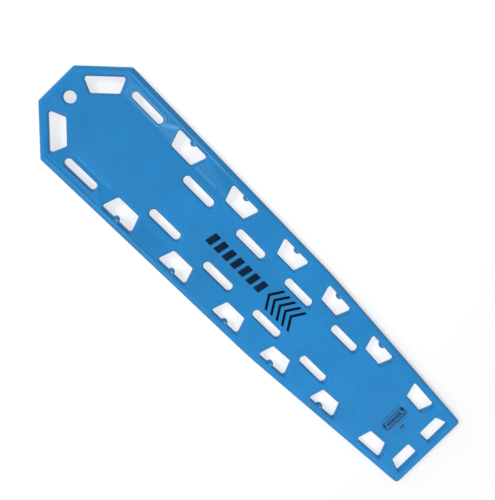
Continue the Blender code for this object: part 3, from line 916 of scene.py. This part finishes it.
def chevron(s, y, reach, spread, stroke):
    """A printed chevron that points to the head: its tip at s, arms reaching back and spreading sideways."""
    thick = stroke / Vector((reach, spread)).normalized().y
    corners = [
        (s, y), (s + reach, y + spread), (s + reach + thick, y + spread),
        (s + thick, y), (s + reach + thick, y - spread), (s + reach, y - spread),
    ]
    return rounded([(*corner, CHEVRON_CORNER) for corner in corners], -1)


def domed(radius, edge_z, rise, up):
    """Profile rows of a shallow dome, from its rim to a small flat at its top."""
    rows = []
    last = math.pi / 2 * DOME_SHARE
    for k in range(DOME_RINGS + 1):
        angle = last * k / DOME_RINGS
        rows.append((radius * math.cos(angle), edge_z + up * rise * math.sin(angle) / math.sin(last), 0))
    return rows


# Materials


class Finish:
    """A procedural material, with short ways to add its nodes."""

    def __init__(self, name, roughness, specular=0.5, metallic=0.0):
        self.material = bpy.data.materials.new(name)
        self.material.use_nodes = True
        self.tree = self.material.node_tree
        self.shader = self.tree.nodes["Principled BSDF"]
        self.shader.inputs["Roughness"].default_value = roughness
        self.shader.inputs["Specular IOR Level"].default_value = specular
        self.shader.inputs["Metallic"].default_value = metallic
        self.place = self.node("ShaderNodeTexCoord").outputs["Object"]

    def node(self, kind, inputs=(), **settings):
        made = self.tree.nodes.new(kind)
        for key, value in settings.items():
            setattr(made, key, value)
        for key, value in dict(inputs).items():
            if isinstance(value, bpy.types.NodeSocket):
                self.tree.links.new(value, made.inputs[key])
            else:
                made.inputs[key].default_value = value
        return made

    def stretched(self, scale):
        return self.node("ShaderNodeMapping", {"Vector": self.place, "Scale": scale}).outputs["Vector"]

    def noise(self, scale, detail=2.0, roughness=0.5, vector=None):
        values = {"Vector": vector or self.place, "Scale": scale, "Detail": detail, "Roughness": roughness}
        return self.node("ShaderNodeTexNoise", values).outputs["Fac"]

    def cells(self, scale):
        return self.node("ShaderNodeTexVoronoi", {"Vector": self.place, "Scale": scale}).outputs["Distance"]

    def spread(self, value, low, high, to_low=0.0, to_high=1.0):
        values = {"Value": value, 1: low, 2: high, 3: to_low, 4: to_high}
        return self.node("ShaderNodeMapRange", values).outputs["Result"]

    def maths(self, operation, a, b):
        return self.node("ShaderNodeMath", {0: a, 1: b}, operation=operation).outputs[0]

    def mixed(self, share, low, high):
        made = self.node("ShaderNodeMix", {0: share, 6: low, 7: high}, data_type="RGBA")
        return made.outputs[2]

    def attribute(self, name):
        return self.node("ShaderNodeAttribute", attribute_name=name).outputs["Fac"]

    def bumped(self, height, strength, distance, normal=None):
        values = {"Height": height, "Strength": strength, "Distance": distance}
        if normal is not None:
            values["Normal"] = normal
        return self.node("ShaderNodeBump", values).outputs["Normal"]

    def set(self, key, value):
        self.tree.links.new(value, self.shader.inputs[key])


def colour(red, green, blue, share=1.0):
    return (red * share, green * share, blue * share, 1.0)


BLUE = (0.002, 0.206, 0.521)
BLUE_WORN = (0.06, 0.30, 0.60)
# The pale blue of the painted highlights.
BLUE_PAINTED_HIGHLIGHT = (0.12, 0.39, 0.74)


def shell_finish():
    """Moulded blue polyethylene: a faint mottle, orange peel, light scuffs, paler worn edges, and pale lines
    and a lip ring painted in as highlights.
    """
    finish = Finish("moulded_polyethylene", 0.28, 0.5)
    mottle = finish.spread(finish.noise(7, 3, 0.55), 0.35, 0.65)
    grain = finish.spread(finish.noise(420, 2, 0.6), 0.3, 0.7)
    base = finish.mixed(mottle, colour(*BLUE, 0.93), colour(*BLUE, 1.07))
    base = finish.mixed(finish.maths("MULTIPLY", grain, 0.12), base, colour(*BLUE_WORN))
    scuffs = finish.noise(60, 5, 0.7, finish.stretched((0.25, 1.0, 1.0)))
    scuffs = finish.spread(scuffs, 0.60, 0.72, 0.0, 0.28)
    base = finish.mixed(scuffs, base, colour(*BLUE_WORN))
    edge = finish.spread(finish.attribute("edge_depth"), 2.5 * MM, 5 * MM, 1.0, 0.0)
    worn = finish.maths("MULTIPLY", edge, finish.spread(finish.noise(140, 4, 0.65), 0.42, 0.62, 0.0, 0.15))
    base = finish.mixed(worn, base, colour(*BLUE_WORN))
    # Painted highlights: pale lines and a lip ring that stand in for sheen.
    patchy = finish.spread(finish.noise(110, 3, 0.6), 0.3, 0.6, 0.6, 1.0)
    pale = finish.maths("MULTIPLY", finish.attribute("painted_highlight"), patchy)
    finish.set("Base Color", finish.mixed(pale, base, colour(*BLUE_PAINTED_HIGHLIGHT)))
    rough = finish.spread(finish.noise(25, 3), 0.3, 0.7, 0.25, 0.31)
    finish.set("Roughness", finish.maths("ADD", rough, finish.maths("MULTIPLY", scuffs, 0.3)))
    broad = finish.bumped(finish.noise(9, 2), 0.05, 4 * MM)
    peel = finish.bumped(finish.noise(330, 2, 0.6), 0.06, 0.3 * MM, broad)
    finish.set("Normal", peel)
    return finish.material


def foam_finish():
    """Rigid foam: pale, uneven in tone, and pitted with pores, whose centres are painted darker as shade in
    the hollows.
    """
    finish = Finish("rigid_foam", 0.9, 0.15)
    pores = finish.spread(finish.cells(520), 0.0, 0.55)
    tone = finish.spread(finish.noise(14, 3), 0.3, 0.7)
    base = finish.mixed(tone, colour(0.62, 0.50, 0.27), colour(0.76, 0.65, 0.40))
    # Dark pore centres: painted shade in the pores' hollows.
    finish.set("Base Color", finish.mixed(pores, colour(0.45, 0.34, 0.17), base))
    finish.set("Normal", finish.bumped(pores, 0.6, 0.6 * MM))
    return finish.material


def tube_finish():
    """Pultruded composite: long fibres that show through a dark resin."""
    finish = Finish("pultruded_composite", 0.38, 0.5)
    fibres = finish.spread(finish.noise(900, 3, 0.6, finish.stretched((0.02, 1.0, 1.0))), 0.35, 0.65)
    finish.set("Base Color", finish.mixed(fibres, colour(0.018, 0.018, 0.02), colour(0.075, 0.075, 0.08)))
    finish.set("Normal", finish.bumped(fibres, 0.2, 0.2 * MM))
    return finish.material


def label_finish():
    """Thin film, nearly the colour of the deck."""
    finish = Finish("label_film", 0.32, 0.5)
    tone = finish.spread(finish.noise(30, 4), 0.3, 0.7)
    finish.set("Base Color", finish.mixed(tone, colour(*BLUE, 0.97), colour(*BLUE, 1.05)))
    finish.set("Normal", finish.bumped(finish.noise(160, 2), 0.08, 0.3 * MM))
    return finish.material


def ink_finish(name, dark, light, gaps):
    """Printed ink: uneven in tone, with pinholes that let the blue through. More gaps make more of them."""
    finish = Finish(name, 0.7, 0.08)
    tone = finish.spread(finish.noise(90, 4, 0.6), 0.3, 0.7)
    base = finish.mixed(tone, dark, light)
    worn = finish.spread(finish.noise(520, 4, 0.7), 0.66 - gaps, 0.72 - gaps, 0.0, 0.7)
    finish.set("Base Color", finish.mixed(worn, base, colour(*BLUE)))
    finish.set("Normal", finish.bumped(finish.noise(700, 2), 0.1, 0.1 * MM))
    return finish.material


def pin_finish():
    """Stainless steel, brushed round the pin's head."""
    finish = Finish("brushed_steel", 0.4, 0.5, 1.0)
    lines = finish.spread(finish.noise(2600, 3, 0.6, finish.stretched((1.0, 0.05, 1.0))), 0.3, 0.7)
    finish.set("Base Color", finish.mixed(lines, colour(0.45, 0.50, 0.55), colour(0.58, 0.63, 0.68)))
    finish.set("Roughness", finish.spread(lines, 0.0, 1.0, 0.36, 0.5))
    finish.set("Normal", finish.bumped(lines, 0.1, 0.05 * MM))
    return finish.material


def plug_finish():
    """Dark moulded plastic with a fine grain."""
    finish = Finish("plug_plastic", 0.45, 0.4)
    tone = finish.spread(finish.noise(180, 3), 0.3, 0.7)
    finish.set("Base Color", finish.mixed(tone, colour(0.02, 0.03, 0.05), colour(0.045, 0.06, 0.085)))
    finish.set("Normal", finish.bumped(finish.noise(900, 2), 0.15, 0.1 * MM))
    return finish.material


def floor_finish():
    """Pale matt paint with a painted glow of its own: set apart under the board, and beside it fading from
    the head to the foot like falling light.
    """
    finish = Finish("floor_paint_with_painted_glow", 0.9, 0.1)
    tone = finish.spread(finish.noise(2, 2), 0.3, 0.7)
    finish.set("Base Color", finish.mixed(tone, colour(0.41, 0.41, 0.41), colour(0.43, 0.43, 0.43)))
    finish.shader.inputs["Emission Color"].default_value = colour(1, 1, 1)
    # Painted light: the floor's glow, fading from head to foot beside the board and set apart under it.
    along = finish.node("ShaderNodeSeparateXYZ", {"Vector": finish.place}).outputs["X"]
    beside = finish.spread(along, CAD_LOW.x, CAD_HIGH.x, *PAINTED_GLOW_BESIDE)
    finish.set("Emission Strength", finish.spread(finish.attribute("under_board"), 0, 1, beside, PAINTED_GLOW_UNDER))
    return finish.material


# The pieces

SHELL = shell_finish()
INK_NAVY = ink_finish("navy_ink", colour(0.003, 0.012, 0.03), colour(0.006, 0.022, 0.05), -0.04)
INK_BLACK = ink_finish("black_ink", colour(0.001, 0.003, 0.009), colour(0.003, 0.008, 0.018), -0.04)
INK_RED = ink_finish("dark_red_ink", colour(0.022, 0.02, 0.028), colour(0.07, 0.038, 0.048), -0.03)
PLUG = plug_finish()
PIN = pin_finish()

deck = half_skin("deck_skin", 1, deck_height, deck_inner_height, feature_points(), SHELL)
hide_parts("deck_shell")
base = half_skin("base_skin", -1, base_height, base_inner_height, runner_points(), SHELL)
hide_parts("base_shell")


def make_label():
    """The label: a thin plate in the deck's pocket, with a flange that covers the pocket's edge."""
    near, far = LABEL_S
    half = LABEL_HALF_WIDTH
    corners = ((near, -half), (far, -half), (far, half), (near, half))
    rows = rounded([(s, y, LABEL_CORNER) for s, y in corners], -1)
    top = DECK_Z + LABEL_RISE
    body = POCKET_INSET + POCKET_SLOPE
    levels = (
        (DECK_Z - LABEL_THICKNESS, body),
        (DECK_Z + FLANGE_GAP, body),
        (DECK_Z + FLANGE_GAP, 0),
        (top - LABEL_EDGE / 3, FLANGE_GAP),
        (top, LABEL_EDGE),
    )
    label = piece("label", stacked("label", [rows], levels), label_finish())
    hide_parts("label_plate")
    return top


def print_on(name, outlines, z, material):
    """Thin printed shapes that stand a little above the face at z."""
    levels = ((z - INK_DEPTH, 0), (z + INK_RISE / 2, 0), (z + INK_RISE, INK_EDGE))
    piece(name, stacked(name, outlines, levels, angle=60), material)


def text_row(s, height, y_from, y_to, seed, least, most, gap):
    """A row of small blocks of uneven width, in place of a line of text."""
    widths = np.random.default_rng(seed)
    blocks = []
    y = y_from
    while y < y_to - least:
        width = min(float(widths.uniform(least, most)), y_to - y)
        blocks.append(bar(FRAME_S[0] + s, y + width / 2, height, width, 0, BLOCK_CORNER))
        y += width + gap * float(widths.uniform(*BLOCK_GAPS))
    return blocks


def make_label_print(z):
    """A frame with a heavy bar in two corners and rows of blocks, fine rows beside it, and a small mark."""
    low, high = FRAME_Y
    near, far = FRAME_S
    reach = high - low - FRAME_LINES_SHORTER
    lines = [bar(s, (low + high) / 2, width, reach) for s, width in zip(FRAME_S, FRAME_LINES)]
    side_s = (near + far) / 2 - FRAME_SIDE_SHIFT
    lines += [bar(side_s, y, far - near - FRAME_SIDE_SHORTER, FRAME_SIDE) for y in FRAME_Y]
    print_on("label_frame", lines, z, INK_RED)
    heavy = [bar(near + s, y, length, width) for s, y, length, width in HEAVY_BARS]
    heavy += text_row(*HEAVY_ROW)
    print_on("label_heavy_rows", heavy, z, INK_NAVY)
    fine = []
    for row in FINE_ROWS:
        fine += text_row(*row)
    print_on("label_fine_rows", fine, z, INK_RED)
    small = [bar(SMALL_S, y, SMALL_LENGTH, width, SMALL_SLANT) for y, width in SMALL_BARS]
    print_on("small_mark", small, DECK_Z, INK_RED)


def make_deck_marks():
    """Slanted bars and chevrons in place of lettering."""
    step = (BARS_S[1] - BARS_S[0]) / BAR_COUNT
    places = [BARS_S[0] + (k + 0.5) * step for k in range(BAR_COUNT)]
    bars = [bar(s, 0, BAR_SHARE * step, BAR_LONG, BAR_SLANT, BAR_CORNER) for s in places]
    print_on("slanted_bars", bars, DECK_Z, INK_NAVY)
    tips = [CHEVRONS_S + k * CHEVRON_STEP for k in range(CHEVRON_COUNT)]
    marks = [chevron(s, 0, CHEVRON_REACH, CHEVRON_SPREAD, CHEVRON_STROKE) for s in tips]
    print_on("chevrons", marks, DECK_Z, INK_BLACK)


def make_pins():
    """Headed pins: a shank with a domed head at each end."""
    for name in PINS:
        low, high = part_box(name)
        centre = node_centre(name)
        head = (high.x - low.x) / 2
        top = high.z - HEAD_STANDS
        foot = low.z + HEAD_STANDS
        profile = domed(head, foot - HEAD_RIM, HEAD_STANDS - HEAD_RIM, -1)[::-1]
        profile += [(head, foot, 0), (PIN_SHANK, foot, 0), (PIN_SHANK, top, 0), (head, top, 0)]
        profile += domed(head, top + HEAD_RIM, HEAD_STANDS - HEAD_RIM, 1)
        pin = piece("pin_" + name[len("clip_pin_"):], turned(name, centre, profile), PIN)
        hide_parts(name)


def make_plugs():
    """Round plugs with a six-sided socket in the outer face."""
    for name in PLUGS:
        low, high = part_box(name)
        centre = node_centre(name)
        radius = (high.x - low.x) / 2
        up = 1 if centre.z > MID_Z else -1
        outer, inner = (high.z, low.z) if up > 0 else (low.z, high.z)
        deep = (outer - inner) * up
        profile = [
            (0.6 * radius, inner, 0),
            (radius - PLUG_CHAMFER, inner, 0),
            (radius, inner + 0.1 * deep * up, 0),
            (radius, outer - PLUG_EDGE * up, 0),
            (radius - PLUG_EDGE_MIDDLE, outer - PLUG_EDGE_MIDDLE * up, 0),
            (radius - PLUG_EDGE, outer, 0),
            (0.62 * radius, outer, 0),
            (0.58 * radius, outer - 0.1 * MM * up, SOCKET_SIDES),
            (0.56 * radius, outer - 0.4 * deep * up, SOCKET_SIDES),
        ]
        plug = piece(name + "_fine", turned(name, centre, profile), PLUG)
        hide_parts(name)


def dress_inside():
    """Materials for the foam and the tubes, which keep their CAD shapes."""
    foam = foam_finish()
    tube = tube_finish()
    for name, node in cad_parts.items():
        if name == "foam_core" or name.startswith("stiffener_tube"):
            node.data.materials.clear()
            node.data.materials.append(foam if name == "foam_core" else tube)


make_label_print(make_label())
make_deck_marks()
make_pins()
make_plugs()
dress_inside()

# Floor, light and camera


def make_floor():
    """A plain floor with a painted glow of its own under the board, which lifts the shade seen through the
    openings.
    """
    z = CAD_LOW.z - FLOOR_GAP
    xs, ys = (
        np.concatenate(((-FLOOR_HALF,), np.arange(-reach, reach, FLOOR_GRID), (FLOOR_HALF,)))
        for reach in (CAD_HIGH.x + 2 * FLOOR_GRID, CAD_HIGH.y + 2 * FLOOR_GRID)
    )
    places = [(x, y, z) for x in xs for y in ys]
    faces = []
    for i in range(len(xs) - 1):
        first = i * len(ys)
        faces.extend((j, j + len(ys), j + len(ys) + 1, j + 1) for j in range(first, first + len(ys) - 1))
    mesh = bpy.data.meshes.new("floor")
    mesh.from_pydata(places, [], faces)
    under = mesh.attributes.new("under_board", "FLOAT", "POINT")
    under.data.foreach_set("value", [ease(OUTER_DEPTH(x - HEAD_X, y) / BAR_WIDTH) for x, y, _ in places])
    mesh.materials.append(floor_finish())
    floor = in_scene("floor", mesh)
    floor.visible_diffuse = False
    floor.visible_glossy = False


def add_light(name, place, target, size, power, glossy=True):
    light = bpy.data.lights.new(name, "AREA")
    light.shape = "DISK"
    light.size = size
    light.energy = power
    obj = in_scene(name, light)
    obj.location = place
    obj.visible_camera = False
    obj.visible_glossy = glossy
    obj.rotation_euler = (Vector(target) - Vector(place)).to_track_quat("-Z", "Y").to_euler()


def add_sun(name, place, spread, strength):
    """Even light from far away, towards the board from that side, spread over some degrees."""
    light = bpy.data.lights.new(name, "SUN")
    light.angle = math.radians(spread)
    light.energy = strength
    obj = in_scene(name, light)
    obj.visible_glossy = False
    obj.rotation_euler = (-Vector(place)).to_track_quat("-Z", "Y").to_euler()


def make_world(low, high):
    """Soft light from all round, from low at the horizon to high overhead."""
    world = bpy.data.worlds.new("studio")
    bpy.context.scene.world = world
    world.use_nodes = True
    tree = world.node_tree
    place = tree.nodes.new("ShaderNodeTexCoord")
    parts = tree.nodes.new("ShaderNodeSeparateXYZ")
    fade = tree.nodes.new("ShaderNodeMapRange")
    for key, value in ((1, 0.0), (2, 0.75), (3, low), (4, high)):
        fade.inputs[key].default_value = value
    tree.links.new(place.outputs["Generated"], parts.inputs[0])
    tree.links.new(parts.outputs["Z"], fade.inputs["Value"])
    tree.links.new(fade.outputs["Result"], tree.nodes["Background"].inputs["Strength"])
    tree.nodes["Background"].inputs["Color"].default_value = colour(1, 1, 1)


def make_camera():
    camera = in_scene("camera", bpy.data.cameras.new("camera"))
    camera.data.lens = CAMERA_LENS
    camera.data.sensor_width = CAMERA_SENSOR
    camera.location = CAMERA_PLACE
    camera.rotation_euler = [math.radians(angle) for angle in CAMERA_TURN]
    bpy.context.scene.camera = camera
    bpy.context.scene.view_settings.view_transform = "Standard"


make_floor()
make_world(low=0.52, high=0.5)
add_sun("key", place=(-0.70, -0.22, 0.68), spread=14, strength=1.45)
add_sun("low", place=(-1.0, -0.15, 0.3), spread=20, strength=0.5)
add_light("sheen", place=(0.1, -2.5, 7.6), target=(-0.6, 0.15, 0), size=1.2, power=18)
add_light("rim", place=(1.0, -5.0, 4.3), target=(-0.3, 0, 0), size=1.6, power=32)
add_light("fill", place=(3.4, -0.8, 3.4), target=(0.9, 0, 0), size=2.5, power=50, glossy=False)
make_camera()
